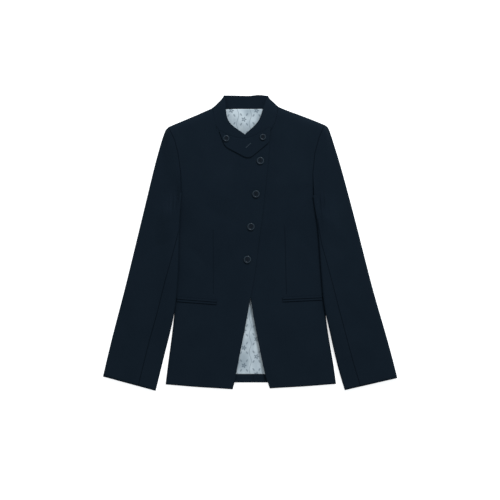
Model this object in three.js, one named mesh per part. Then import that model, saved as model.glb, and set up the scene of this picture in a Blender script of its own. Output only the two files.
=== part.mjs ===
// A navy blazer with a stand collar, laid on its back with both sleeves spread.
// Millimetres. +Z is up from the surface it lies on, +Y runs from hem to collar, and +X is to the
// viewer's right, so the wearer's right side has negative x. Panels are walls of cloth: each is a grid
// of points in the middle of its cloth, with half the cloth's thickness on either side.
import * as THREE from 'three';

// Cloth and gaps
const CLOTH = 1.8;
const LINING = 1.0;
const STAND = 2.0;
const TAB = 2.4;
const WELT = 1.3;
const SEAM = 0.3;
const NECK_SEAM = 0.5;
const HINDARM_SEAM = 1.4;
const REST = 0.8;

// Rounds of the laid garment: its side folds, its shoulder edge and the two folds of a sleeve
const SIDE_ROUND = 5;
const SHOULDER_ROUND = 13;
const SLEEVE_ROUND = 5.4;
const CROWN_WIDTH = 90;
const SIDE_SEAM_ANGLE = 50;

// Where the stacked layers lie
const FLAT = CLOTH / 2;
const SHOULDER_LOW = STAND + SEAM + CLOTH / 2 + 0.1;
const LINING_LEVEL = CLOTH + SEAM + LINING / 2;
const UNDERLAP_DROP = CLOTH + SEAM + 0.2;

// Middle of the front's cloth over the surface, down the centre and beside the side fold
const LOFT = [
  { y: -352, centre: 10.5, side: 9.3 },
  { y: -250, centre: 12.0, side: 9.3 },
  { y: -130, centre: 13.0, side: 9.5 },
  { y: -40, centre: 14.0, side: 9.5 },
  { y: 60, centre: 17.5, side: 9.5 },
  { y: 150, centre: 20.0, side: 10.0 },
  { y: 235, centre: 19.5, side: 12.0 },
  { y: 275, centre: 17.5, side: 12.0 },
  { y: 316, centre: 13.0, side: 9.0 },
  { y: 353, centre: 5.5, side: 5.0 },
];

// How far in from the side fold the side seam runs underneath
const SIDE_SEAM = [
  { y: -352, inset: 21 },
  { y: -60, inset: 19 },
  { y: 72, inset: 7 },
];

// Soft fullness and the two darts that shape it: from, to, half width, and rise (a dart is a trough)
const SHAPING = [
  { name: 'right bust', x0: -98, y0: 60, x1: -84, y1: 130, width: 62, rise: 3.2 },
  { name: 'left bust', x0: 84, y0: 130, x1: 96, y1: 60, width: 62, rise: 3.2 },
  { name: 'right dart', x0: -88, y0: 26, x1: -88, y1: -122, width: 7, rise: -1.0 },
  { name: 'left dart', x0: 82, y0: 34, x1: 86, y1: -122, width: 7, rise: -1.0 },
  { name: 'right hip', x0: -120, y0: -200, x1: -128, y1: -300, width: 55, rise: 1.4 },
  { name: 'left hip', x0: 124, y0: -200, x1: 132, y1: -300, width: 55, rise: 1.4 },
  { name: 'shoulder drag', x0: -150, y0: 236, x1: -110, y1: 150, width: 16, rise: -0.9 },
  { name: 'left chest drag', x0: 128, y0: 214, x1: 70, y1: 120, width: 18, rise: -0.8 },
];

// Soft folds across a sleeve, by how far down it they lie, how far in, and how they slant
const SLEEVE_FOLDS = [
  { down: 0.34, across: 0.75, slant: 0.10, width: 0.07, rise: -0.9 },
  { down: 0.47, across: 0.65, slant: -0.08, width: 0.08, rise: 0.7 },
  { down: 0.64, across: 0.45, slant: 0.10, width: 0.09, rise: -0.7 },
];

// The two sides as laid. `out` is the sign of x on that side.
const RIGHT = {
  name: 'right',
  out: -1,
  body: [
    { y: -352, x: -204 },
    { y: -309, x: -198.5 },
    { y: -259, x: -191.5 },
    { y: -209, x: -185 },
    { y: -172, x: -181 },
    { y: -110, x: -179.5 },
    { y: -50, x: -180 },
    { y: 0, x: -185 },
    { y: 40, x: -198 },
    { y: 74, x: -217 },
    { y: 110, x: -240 },
    { y: 160, x: -262 },
    { y: 360, x: -262 },
  ],
  top: [
    { x: -262, y: 246 },
    { x: -195, y: 275 },
    { x: -156, y: 291 },
    { x: -122, y: 305.2 },
    { x: -91.5, y: 320 },
    { x: -84, y: 325 },
    { x: -74, y: 334 },
    { x: -66, y: 343.4 },
    { x: -60.5, y: 351 },
    { x: -10, y: 349.5 },
    { x: 5, y: 349.5 },
  ],
  armhole: [[-195, 273.6], [-188, 258], [-181, 244.5], [-173, 213], [-167, 175], [-165.5, 140], [-166, 118]],
  underarm: [[-166, 118], [-170, 98], [-184, 83], [-203, 76], [-215.2, 74]],
  sleeveUnder: [[-167.5, 120], [-172, 101], [-184, 87], [-198, 80.5], [-213, 77]],
  backArmhole: [[-210.3, 72], [-210, 76], [-210.4, 88], [-208.8, 118], [-202.8, 160],
    [-195.3, 225], [-193.4, 271.6]],
  sleeveBack: [[-213, 77], [-212.4, 88], [-209.8, 118], [-203.6, 160], [-196, 225], [-194.2, 271.8]],
  outer: [[-196, 274], [-199.8, 271.5], [-202.6, 266.5], [-206.3, 257.4], [-212.7, 238], [-228.5, 181],
    [-247, 104.5], [-265.5, 28], [-284, -48.5], [-302.8, -125], [-323.3, -202], [-342.7, -280], [-351.2, -318.6]],
  inner: [[-165, 117], [-167.5, 84], [-170.8, 17], [-173, -78], [-177.8, -136], [-182.8, -182],
    [-190, -209], [-197.4, -237], [-208.6, -280], [-219.9, -330.5], [-226, -352.5]],
  shoulder: [[-156, 289.9], [-122, 304.2], [-91.8, 318.6]],
  neck: [[-91.8, 318.6], [-88.4, 311], [-86.3, 291], [-80.8, 274.4], [-70, 260.5], [-54, 248], [-34, 239.5],
    [-13.3, 236.5]],
  collarEdge: [[-62.4, 349.6], [-60.6, 340], [-59.2, 328], [-58.8, 315], [-56.8, 301], [-51, 287], [-41, 276.8],
    [-27, 267], [-13.3, 257.4]],
  collarSide: [[-64, 347.2], [-66.6, 341.6], [-74.4, 332.8], [-91.5, 319.2]],
  hem: [[-200, -335.8], [-42, -349]],
  backNeck: [[-88.6, 317.6], [-60, 315.7]],
  forearm: [
    { down: 0, step: 9.4 },
    { down: 0.17, step: 8.8 },
    { down: 0.24, step: 7.75 },
    { down: 0.31, step: 7.0 },
    { down: 0.44, step: 5.95 },
    { down: 0.59, step: 5.4 },
    { down: 0.76, step: 5.33 },
    { down: 1, step: 5.45 },
  ],
};

const LEFT = {
  name: 'left',
  out: 1,
  body: [
    { y: -352, x: 206 },
    { y: -309, x: 200.5 },
    { y: -259, x: 191.7 },
    { y: -209, x: 183.1 },
    { y: -172, x: 178.8 },
    { y: -110, x: 177 },
    { y: -50, x: 177 },
    { y: 0, x: 180 },
    { y: 40, x: 190 },
    { y: 71, x: 206 },
    { y: 110, x: 230 },
    { y: 160, x: 250 },
    { y: 360, x: 250 },
  ],
  top: [
    { x: -5, y: 349.5 },
    { x: 10, y: 350 },
    { x: 41, y: 352.8 },
    { x: 44, y: 343.4 },
    { x: 53.5, y: 334 },
    { x: 66, y: 324.6 },
    { x: 75, y: 320 },
    { x: 111, y: 305.4 },
    { x: 148.4, y: 291 },
    { x: 176, y: 280 },
    { x: 250, y: 250 },
  ],
  armhole: [[176, 278.4], [170, 264], [164, 250.2], [153.9, 213], [149.1, 168], [149.6, 140], [151.5, 112]],
  underarm: [[151.5, 112], [156, 93], [170, 79], [190, 73], [204.2, 71]],
  sleeveUnder: [[153, 114.5], [158, 96.5], [170, 83], [186, 77], [202, 74]],
  backArmhole: [[199.3, 69], [199, 73], [199.6, 85], [198.2, 115], [191.6, 160], [182.8, 225],
    [174.9, 276.2]],
  sleeveBack: [[202, 74], [201.6, 85], [199.2, 115], [192.4, 160], [183.5, 225], [175.6, 276.4]],
  outer: [[177, 279], [183, 276.2], [186.6, 271], [188.6, 265.5], [191.4, 257.4], [197.8, 238], [215.3, 181],
    [236.2, 104.5], [256.2, 28], [275.5, -48.5], [295.2, -125], [318, -202], [339.9, -280], [350.4, -322.7]],
  inner: [[150.4, 111], [154.4, 80.5], [161.6, 34], [166.3, -32], [171.1, -96], [175.4, -150], [180.6, -174],
    [188.8, -209], [199.6, -259], [211.8, -309], [225.4, -352]],
  shoulder: [[148.4, 289.9], [111, 304.2], [75, 318.6], [66.6, 322.6]],
  neck: [[66.6, 322.6], [64.5, 313], [62.6, 299.2], [58.4, 287.5], [53.4, 275], [44, 261.4], [31, 250], [12, 241],
    [-12.7, 236.5]],
  collarEdge: [[41.2, 351.4], [38.6, 342], [35, 331], [31.4, 320], [28, 309], [23.4, 297], [15.6, 284.4],
    [3, 272.2], [-12.7, 257.4]],
  collarSide: [[43, 349], [44.6, 341.8], [53.8, 332.8], [66.3, 323.2]],
  hem: [[202, -334.6], [46.4, -346.8]],
  backNeck: [[66, 317.9], [32, 315.6]],
  forearm: [
    { down: 0, step: 9.4 },
    { down: 0.19, step: 8.6 },
    { down: 0.26, step: 7.7 },
    { down: 0.36, step: 6.75 },
    { down: 0.49, step: 5.95 },
    { down: 0.64, step: 5.7 },
    { down: 0.78, step: 5.7 },
    { down: 1, step: 5.75 },
  ],
};

// Front edges: the right front laps over the left one, and both swing away below the last button
const OVER_EDGE = [[-42, -349], [-33.5, -309], [-23.9, -259], [-13.6, -209], [-5, -160], [-0.5, -136],
  [5.5, -104], [11.7, -68], [19.4, -2], [27, 50], [32.5, 100], [37, 145], [42.5, 192], [44.5, 236]];
const UNDER_EDGE = [[46.4, -346.8], [33.9, -309], [22.9, -259], [13.4, -209], [4.6, -160], [1.4, -136],
  [-5, -108], [-12, -70], [-19, 0], [-21, 50], [-20, 100], [-16, 150], [-13, 200]];

// Back, lining and hem
const CENTRE_BACK = { neck: [-10, 315.6], hem: [6, -335] };
const HEM_LINE = -335;
const HEM_BAND = { top: -315, thick: 1.5, inset: 14 };
const LINING_RIGHT = [[-181, -314.7], [-172, -230], [-168, -120], [-168, -30], [-178, 30], [-190, 72], [-189, 160],
  [-183, 258]];
const LINING_LEFT = [[183, -314.7], [171, -230], [166, -120], [166, -30], [171, 30], [180, 69], [178, 160],
  [166, 266]];
const LINING_TOP = [[-183, 258], [-122, 288], [-94, 303], [-80, 314], [-40, 315.3], [10, 315.3], [54, 315.3],
  [72, 304], [111, 290], [166, 266]];

// Collar stand at the back of the neck
const STAND_BOTTOM = [[-86, 318], [-60, 316], [-10, 315.9], [32, 316], [63, 318.9]];
const STAND_TOP = [[-61.6, 349.4], [-40, 349.2], [-8, 348.4], [20, 349.4], [40.6, 351.2]];

// Throat tab across the collar's ends
const TAB_LEFT_END = [[-61.4, 231.4], [-74.6, 265.3]];
const TAB_RIGHT_END = [[44.7, 239], [48, 274.4]];
const TAB_TOP = [[-74.6, 265.3], [-64, 259.6], [-47.6, 252.9], [-30.8, 248.2], [-13.6, 246.8], [2.4, 250.4],
  [23.2, 260.5], [48, 274.4]];
const TAB_BOTTOM = [[-61.4, 231.4], [-56, 226.4], [-34, 214.6], [-14, 204], [-6, 201.4], [2, 203.4], [22, 220],
  [44.7, 239]];

// Pockets: two welts each side of a mouth, from the inner end to the end under the sleeve
const POCKETS = [
  { side: RIGHT, inner: [-81, -143.4], outer: [-175.6, -136.2], welt: 5.2 },
  { side: LEFT, inner: [77, -137], outer: [171.8, -132.6], welt: 5.0 },
];

// Buttons: where, how wide, and whether on the front or on the throat tab
const BUTTONS = [
  { name: 'button_front_1', x: 23.9, y: 194.5, wide: 18, on: 'front' },
  { name: 'button_front_2', x: 13.4, y: 115.2, wide: 18, on: 'front' },
  { name: 'button_front_3', x: 1.4, y: 37.3, wide: 18, on: 'front' },
  { name: 'button_front_4', x: -7.2, y: -41.1, wide: 18, on: 'front' },
  { name: 'button_tab_right', x: -57.6, y: 247.4, wide: 15, on: 'tab' },
  { name: 'button_tab_left', x: 29.9, y: 250.7, wide: 15, on: 'tab' },
];
const BUTTON_THICK = 3.0;
const BUTTON_SIDES = 16;

const NAVY = '#131c25';
const SILVER_BLUE = '#9dafb8';
const NAVY_GLOSS = '#141a22';

const wool = () => new THREE.MeshStandardMaterial({ color: NAVY, roughness: 0.92, metalness: 0 });
const satin = () => new THREE.MeshStandardMaterial({ color: SILVER_BLUE, roughness: 0.45, metalness: 0 });
const gloss = () => new THREE.MeshStandardMaterial({ color: NAVY_GLOSS, roughness: 0.25, metalness: 0 });

const clamp = (value, low, high) => Math.min(high, Math.max(low, value));
const mix = (a, b, share) => a + (b - a) * share;
const smooth = (low, high, value) => {
  const t = clamp((value - low) / (high - low), 0, 1);
  return t * t * (3 - 2 * t);
};
// Height of a quarter round at a share of its radius in from the edge
const quarter = (share) => Math.sqrt(1 - (1 - clamp(share, 0, 1)) ** 2);

// A column of a table at a place between its rows, on a curve with no overshoot
function read(table, by, column, at) {
  const last = table.length - 1;
  if (at <= table[0][by]) return table[0][column];
  if (at >= table[last][by]) return table[last][column];
  const slopeOf = (i) => (table[i + 1][column] - table[i][column]) / (table[i + 1][by] - table[i][by]);
  let i = 0;
  while (table[i + 1][by] < at) i += 1;
  const turn = (j) => {
    if (j === 0 || j === last) return slopeOf(Math.min(j, last - 1));
    const [before, after] = [slopeOf(j - 1), slopeOf(j)];
    return before * after <= 0 ? 0 : (2 * before * after) / (before + after);
  };
  const wide = table[i + 1][by] - table[i][by];
  const t = (at - table[i][by]) / wide;
  const start = table[i][column] * (1 + 2 * t) * (1 - t) ** 2 + turn(i) * wide * t * (1 - t) ** 2;
  return start + table[i + 1][column] * t * t * (3 - 2 * t) + turn(i + 1) * wide * t * t * (t - 1);
}

// A plan curve through a few points, read by its share of length, or back to front
const curve = (points) => {
  const spline = new THREE.SplineCurve(points.map(([x, y]) => new THREE.Vector2(x, y)));
  return (share) => spline.getPointAt(clamp(share, 0, 1));
};
const reverse = (line) => (share) => line(1 - share);
// Curves end to end, each with its own number of steps of the whole
const chain = (...links) => {
  const total = links.reduce((sum, [, steps]) => sum + steps, 0);
  return (share) => {
    let step = clamp(share, 0, 1) * total;
    for (const [line, steps] of links.slice(0, -1)) {
      if (step <= steps) return line(step / steps);
      step -= steps;
    }
    const [line, steps] = links[links.length - 1];
    return line(step / steps);
  };
};

// A point of the plan between four edges that meet at their ends
function between(bottom, top, left, right, u, v) {
  const point = new THREE.Vector2();
  for (const axis of ['x', 'y']) {
    const ends = mix(mix(bottom(0)[axis], bottom(1)[axis], u), mix(top(0)[axis], top(1)[axis], u), v);
    const ruled = mix(bottom(u)[axis], top(u)[axis], v) + mix(left(v)[axis], right(v)[axis], u);
    point[axis] = ruled - ends;
  }
  return point;
}

const shares = (count) => Array.from({ length: count + 1 }, (_, i) => i / count);

// A point in the middle of a cloth, with the direction straight out of it
const pose = (x, y, z, out = new THREE.Vector3(0, 0, 1)) => ({ at: new THREE.Vector3(x, y, z), out });

// A closed wall of cloth from a grid of such points
function wall(grid, thick) {
  const rows = grid.length;
  const columns = grid[0].length;
  const points = [1, -1].flatMap((face) => grid.flat().map(
    ({ at, out }) => at.clone().addScaledVector(out, (face * thick) / 2),
  ));
  const outer = (i, j) => i * columns + j;
  const inner = (i, j) => rows * columns + i * columns + j;
  const triangles = [];
  const quad = (a, b, c, d) => triangles.push(a, b, c, a, c, d);
  for (let i = 0; i < rows - 1; i += 1) {
    for (let j = 0; j < columns - 1; j += 1) {
      quad(outer(i, j), outer(i, j + 1), outer(i + 1, j + 1), outer(i + 1, j));
      quad(inner(i, j), inner(i + 1, j), inner(i + 1, j + 1), inner(i, j + 1));
    }
  }
  for (let i = 0; i < rows - 1; i += 1) {
    quad(outer(i, 0), outer(i + 1, 0), inner(i + 1, 0), inner(i, 0));
    quad(outer(i + 1, columns - 1), outer(i, columns - 1), inner(i, columns - 1), inner(i + 1, columns - 1));
  }
  for (let j = 0; j < columns - 1; j += 1) {
    quad(outer(0, j + 1), outer(0, j), inner(0, j), inner(0, j + 1));
    quad(outer(rows - 1, j), outer(rows - 1, j + 1), inner(rows - 1, j + 1), inner(rows - 1, j));
  }
  const geometry = new THREE.BufferGeometry();
  const numbers = points.flatMap((p) => p.toArray());
  geometry.setAttribute('position', new THREE.Float32BufferAttribute(numbers, 3));
  geometry.setIndex(volume(points, triangles) > 0 ? triangles : triangles.reverse());
  return geometry;
}

function volume(points, triangles) {
  let sum = 0;
  for (let k = 0; k < triangles.length; k += 3) {
    const [a, b, c] = [points[triangles[k]], points[triangles[k + 1]], points[triangles[k + 2]]];
    sum += a.dot(b.clone().cross(c)) / 6;
  }
  return sum;
}

// Heights of the body's top cloth

const bodyEdge = (side, y) => read(side.body, 'y', 'x', y);
const inFromSide = (side, x, y) => side.out * (bodyEdge(side, y) - x);
const sideOf = (x) => (x < -12 ? RIGHT : LEFT);

function shaping(x, y) {
  let rise = 0;
  for (const fold of SHAPING) {
    const along = new THREE.Vector2(fold.x1 - fold.x0, fold.y1 - fold.y0);
    const length = along.length();
    along.normalize();
    const [dx, dy] = [x - fold.x0, y - fold.y0];
    const run = dx * along.x + dy * along.y;
    const off = Math.hypot(dx * along.y - dy * along.x, Math.max(0, -run, run - length));
    rise += fold.rise * Math.exp(-((off / fold.width) ** 2));
  }
  return rise;
}

// Height before the side fold and the shoulder edge turn down
function crown(side, x, y) {
  const low = read(LOFT, 'y', 'side', y);
  const high = read(LOFT, 'y', 'centre', y);
  const inward = inFromSide(side, x, y);
  return mix(low, high, smooth(0, CROWN_WIDTH, inward)) + shaping(x, y) * smooth(4, 40, inward);
}

function downFromTop(side, x, y) {
  const step = 2;
  const top = read(side.top, 'x', 'y', x);
  const slope = (read(side.top, 'x', 'y', x + step) - read(side.top, 'x', 'y', x - step)) / (2 * step);
  return (top - y) / Math.hypot(1, slope);
}

function bodyHeight(side, x, y) {
  const high = crown(side, x, y);
  const middle = (high + FLAT) / 2;
  const rounded = middle + (high - middle) * quarter(inFromSide(side, x, y) / SIDE_ROUND);
  return mix(SHOULDER_LOW, rounded, quarter(downFromTop(side, x, y) / SHOULDER_ROUND));
}

// A point on a height over the plan, with the direction out of that height
function onHeight(height, p) {
  const step = 0.2;
  const slopeX = (height(p.x + step, p.y) - height(p.x - step, p.y)) / (2 * step);
  const slopeY = (height(p.x, p.y + step) - height(p.x, p.y - step)) / (2 * step);
  return pose(p.x, p.y, height(p.x, p.y), new THREE.Vector3(-slopeX, -slopeY, 1).normalize());
}
const onBody = (side, p, lift = () => 0) => onHeight((x, y) => bodyHeight(side, x, y) + lift(x, y), p);

// Above the underarm a sleeve comes down to the surface this much faster
const UNDERARM_STEEPER = 1.8;
// How far a plan point lies inside the edge of the body that a sleeve rests on
function overBody(side, x, y) {
  const lowest = side.underarm.map(([px, py]) => ({ x: side.out * px, y: py }));
  return Math.min(inFromSide(side, x, y), UNDERARM_STEEPER * (read(lowest, 'x', 'y', side.out * x) - y));
}

// Plan curves. Pieces that meet share a curve and its steps, each half a seam's gap to its own side.

const SIDE_STEPS = 11;
const UNDERARM_STEPS = 4;
const ARMHOLE_STEPS = 8;
const SHOULDER_STEPS = 5;
const NECK_STEPS = 9;
const OVERLAP_NECK_STEPS = 4;
const ROUND_STARTS = [0.08, 0.22, 0.5];

const beside = (line, gap) => (share) => {
  const step = 0.01;
  const along = line(share + step).clone().sub(line(share - step)).normalize();
  return line(share).clone().add(new THREE.Vector2(-along.y, along.x).multiplyScalar(gap));
};
const straight = (from, to) => (share) => from.clone().lerp(to, share);
const place = ([x, y]) => new THREE.Vector2(x, y);

// Shares of a chain of whole steps, with closer ones where the cloth turns over an edge
const closerAtStart = (steps) => [0, ...ROUND_STARTS.map((part) => part / steps), ...shares(steps).slice(1)];
const closerAtEnd = (steps) => closerAtStart(steps).map((share) => 1 - share).reverse();

const neckSeam = (side, turn) => beside(curve(side.neck), (side.out * turn * NECK_SEAM) / 2);
const armholeSeam = (side, points, turn) => beside(curve(points), (-side.out * turn * SEAM) / 2);
const sideSeamInset = SIDE_ROUND * (1 - Math.cos(THREE.MathUtils.degToRad(SIDE_SEAM_ANGLE)));
const underarmTop = (side) => side.underarm[side.underarm.length - 1][1];
const sideRows = (side) => shares(SIDE_STEPS).map((share) => mix(side.hem[0][1], underarmTop(side), share));
const atSide = (side, y, inset) => new THREE.Vector2(bodyEdge(side, y) - side.out * inset, y);

// Front: from the side seam and armhole to the front edge, and from the hem to shoulder and neck
function front(side, edgePoints, neckLinks, lift) {
  const outside = chain(
    [(share) => atSide(side, mix(side.hem[0][1], underarmTop(side), share), sideSeamInset), SIDE_STEPS],
    [reverse(armholeSeam(side, side.underarm, 1)), UNDERARM_STEPS],
    [reverse(armholeSeam(side, side.armhole, 1)), ARMHOLE_STEPS],
  );
  const links = [[curve([outside(1).toArray(), ...side.shoulder]), SHOULDER_STEPS], ...neckLinks];
  const top = chain(...links);
  const corner = top(1);
  const edge = curve([...edgePoints, [corner.x, corner.y]]);
  const hem = straight(outside(0), edge(0));
  const rows = closerAtEnd(SIDE_STEPS + UNDERARM_STEPS + ARMHOLE_STEPS);
  const columns = closerAtStart(links.reduce((sum, [, steps]) => sum + steps, 0));
  return wall(rows.map((v) => columns.map((u) => (
    onBody(side, between(hem, top, outside, edge, u, v), lift)
  ))), CLOTH);
}

// Side panel: from its seam with the front, round the side fold and in under the body
function sidePanel(side) {
  const gapAngle = THREE.MathUtils.radToDeg(SEAM / SIDE_ROUND);
  const angles = [SIDE_SEAM_ANGLE - gapAngle, 25, 0, -25, -50, -72, -90];
  return wall(sideRows(side).map((y) => {
    const centre = atSide(side, y, SIDE_ROUND);
    const high = crown(side, centre.x, y);
    const middle = (high + FLAT) / 2;
    const round = angles.map((degrees) => {
      const angle = THREE.MathUtils.degToRad(degrees);
      const [level, up] = [Math.cos(angle), Math.sin(angle)];
      const out = new THREE.Vector3((side.out * level) / SIDE_ROUND, 0, up / (high - middle)).normalize();
      return pose(centre.x + side.out * SIDE_ROUND * level, y, middle + (high - middle) * up, out);
    });
    const seam = atSide(side, y, read(SIDE_SEAM, 'y', 'inset', y));
    return [...round, pose(seam.x, y, FLAT, new THREE.Vector3(0, 0, -1))];
  }), CLOTH);
}

// Back half: flat on the surface, from the side seam and back armhole to the centre seam
function back(side) {
  const seam = (share) => {
    const y = mix(HEM_LINE, side.backArmhole[0][1], share);
    return atSide(side, y, read(SIDE_SEAM, 'y', 'inset', y) + SEAM);
  };
  const outside = chain([seam, SIDE_STEPS], [curve(side.backArmhole), ARMHOLE_STEPS]);
  const centreGap = new THREE.Vector2((side.out * SEAM) / 2, 0);
  const neckEnd = place(CENTRE_BACK.neck).add(centreGap);
  const hemEnd = place(CENTRE_BACK.hem).add(centreGap);
  const shoulder = straight(outside(1), place(side.backNeck[0]));
  const top = chain([shoulder, 2], [curve([...side.backNeck, neckEnd.toArray()]), 4]);
  const hem = straight(outside(0), hemEnd);
  const centre = straight(hemEnd, neckEnd);
  return wall(shares(SIDE_STEPS + ARMHOLE_STEPS).map((v) => shares(6).map((u) => {
    const p = between(hem, top, outside, centre, u, v);
    return pose(p.x, p.y, FLAT);
  })), CLOTH);
}

// Hem turned up inside the back, seen below the lining where the fronts part
function hemBand(side) {
  const { hem, neck } = CENTRE_BACK;
  const centreX = (y) => mix(hem[0], neck[0], (y - hem[1]) / (neck[1] - hem[1]));
  const level = CLOTH + SEAM + HEM_BAND.thick / 2;
  return wall([HEM_LINE, HEM_BAND.top - SEAM].map((y) => {
    const from = bodyEdge(side, y) - side.out * HEM_BAND.inset;
    const to = centreX(y) + (side.out * SEAM) / 2;
    return shares(4).map((u) => pose(mix(from, to, u), y, level));
  }), HEM_BAND.thick);
}

// Lining: a thin sheet over the back, seen in the neck and where the fronts part
function lining() {
  const [left, right, top] = [curve(LINING_RIGHT), curve(LINING_LEFT), curve(LINING_TOP)];
  const bottom = straight(left(0), right(0));
  return wall(shares(12).map((v) => shares(9).map((u) => {
    const p = between(bottom, top, left, right, u, v);
    return pose(p.x, p.y, LINING_LEVEL);
  })), LINING);
}

// Collar stand behind the neck, folded flat
function stand() {
  const [bottom, top] = [curve(STAND_BOTTOM), curve(STAND_TOP)];
  const [left, right] = [straight(bottom(0), top(0)), straight(bottom(1), top(1))];
  return wall(shares(2).map((v) => shares(10).map((u) => {
    const p = between(bottom, top, left, right, u, v);
    return pose(p.x, p.y, STAND / 2);
  })), STAND);
}

// Half collar: from the folded corner of the stand, down the side of the neck to the throat
function halfCollar(side) {
  const inside = curve(side.collarEdge);
  const outside = chain([curve(side.collarSide), 3], [neckSeam(side, -1), NECK_STEPS]);
  const corner = straight(inside(0), outside(0));
  const throat = straight(inside(1), outside(1));
  return wall(shares(3 + NECK_STEPS).map((v) => [0, 0.08, 0.35, 0.7, 1].map((u) => (
    onBody(side, between(corner, throat, inside, outside, u, v))
  ))), CLOTH);
}

// Throat tab, over both ends of the collar and the top of the right front
const tabLift = CLOTH / 2 + SEAM + 0.2 + TAB / 2;
function tab() {
  const [bottom, top] = [curve(TAB_BOTTOM), curve(TAB_TOP)];
  const [left, right] = [straight(bottom(0), top(0)), straight(bottom(1), top(1))];
  return wall(shares(4).map((v) => shares(14).map((u) => {
    const p = between(bottom, top, left, right, u, v);
    return onBody(sideOf(p.x), p, () => tabLift);
  })), TAB);
}

// Pocket welt: a narrow strip along one side of the mouth
function welt(pocket, above) {
  const [inner, outer] = [place(pocket.inner), place(pocket.outer)];
  const along = outer.clone().sub(inner).normalize();
  const up = new THREE.Vector2(-along.y, along.x).multiplyScalar(Math.sign(along.x) * (above ? 1 : -1));
  return wall([SEAM / 2 + 0.1, pocket.welt].map((off) => shares(8).map((u) => {
    const p = inner.clone().lerp(outer, u).addScaledVector(up, off);
    return onBody(pocket.side, p, () => CLOTH / 2 + SEAM + 0.15 + WELT / 2);
  })), WELT);
}

// Button: a dished disc with a raised rim, lying along the cloth below it
function button(spec) {
  const radius = spec.wide / 2;
  const profile = [[0, 0], [0.72, 0], [0.96, 0.3], [1, 0.62], [0.9, 1], [0.72, 0.92], [0.6, 0.6], [0, 0.55]];
  const geometry = new THREE.LatheGeometry(
    profile.map(([out, up]) => new THREE.Vector2(out * radius, up * BUTTON_THICK)),
    BUTTON_SIDES,
  );
  geometry.rotateX(Math.PI / 2);
  return geometry;
}

function seatButton(mesh, spec) {
  const lift = spec.on === 'tab' ? tabLift + TAB / 2 : CLOTH / 2;
  const seat = onBody(sideOf(spec.x), spec);
  mesh.position.copy(seat.at).addScaledVector(seat.out, lift + SEAM + 0.15);
  mesh.quaternion.setFromUnitVectors(new THREE.Vector3(0, 0, 1), seat.out);
}

// Sleeve: a flattened tube. Round it, a step counts from the outer fold over the top to the inner fold,
// round that, back underneath and round the outer fold again. Down it, a share runs armhole to cuff.

const TOP_STEPS = ARMHOLE_STEPS;
const FOLD_STEPS = 4;
const UNDER_STEPS = 8;
const INNER_FOLD = TOP_STEPS;
const UNDERSIDE = INNER_FOLD + FOLD_STEPS;
const OUTER_FOLD = UNDERSIDE + UNDER_STEPS;
const ROUND_TRIP = OUTER_FOLD + FOLD_STEPS;
const SEAM_AT_TOP = INNER_FOLD + 1.4;

// A sleeve's underside rises over `run` to lie on the body, and is up `lead` before the body's edge.
// Its top rises with the body below by `share`. Lower down the sleeve lies beside the body.
const RIDE = [
  { y: -352, run: 8, lead: 0, share: 0 },
  { y: -250, run: 10, lead: 1, share: 0 },
  { y: -185, run: 16, lead: 4, share: 0.6 },
  { y: -120, run: 28, lead: 7, share: 1 },
];
// Half the sleeve's loft at each fold, and where the hindarm seam runs underneath
const SLEEVE_LOFT = [
  { down: 0, outer: 1.2, inner: 2.2, hindarm: UNDERSIDE + 4 },
  { down: 0.025, outer: 2.6, inner: 2.4, hindarm: UNDERSIDE + 4.05 },
  { down: 0.05, outer: 3.6, inner: 2.6, hindarm: UNDERSIDE + 4.12 },
  { down: 0.15, outer: SLEEVE_ROUND, inner: 3.6, hindarm: UNDERSIDE + 5.4 },
  { down: 0.35, outer: SLEEVE_ROUND, inner: 4.2, hindarm: UNDERSIDE + 6.2 },
  { down: 1, outer: SLEEVE_ROUND, inner: SLEEVE_ROUND - 0.4, hindarm: UNDERSIDE + 6.3 },
];
const ROWS_DOWN = [0, 0.012, 0.03, 0.055, 0.085, 0.12, 0.16, 0.21, 0.26, 0.31, 0.37, 0.43, 0.5, 0.58, 0.68, 0.79,
  0.9, 1];

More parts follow.
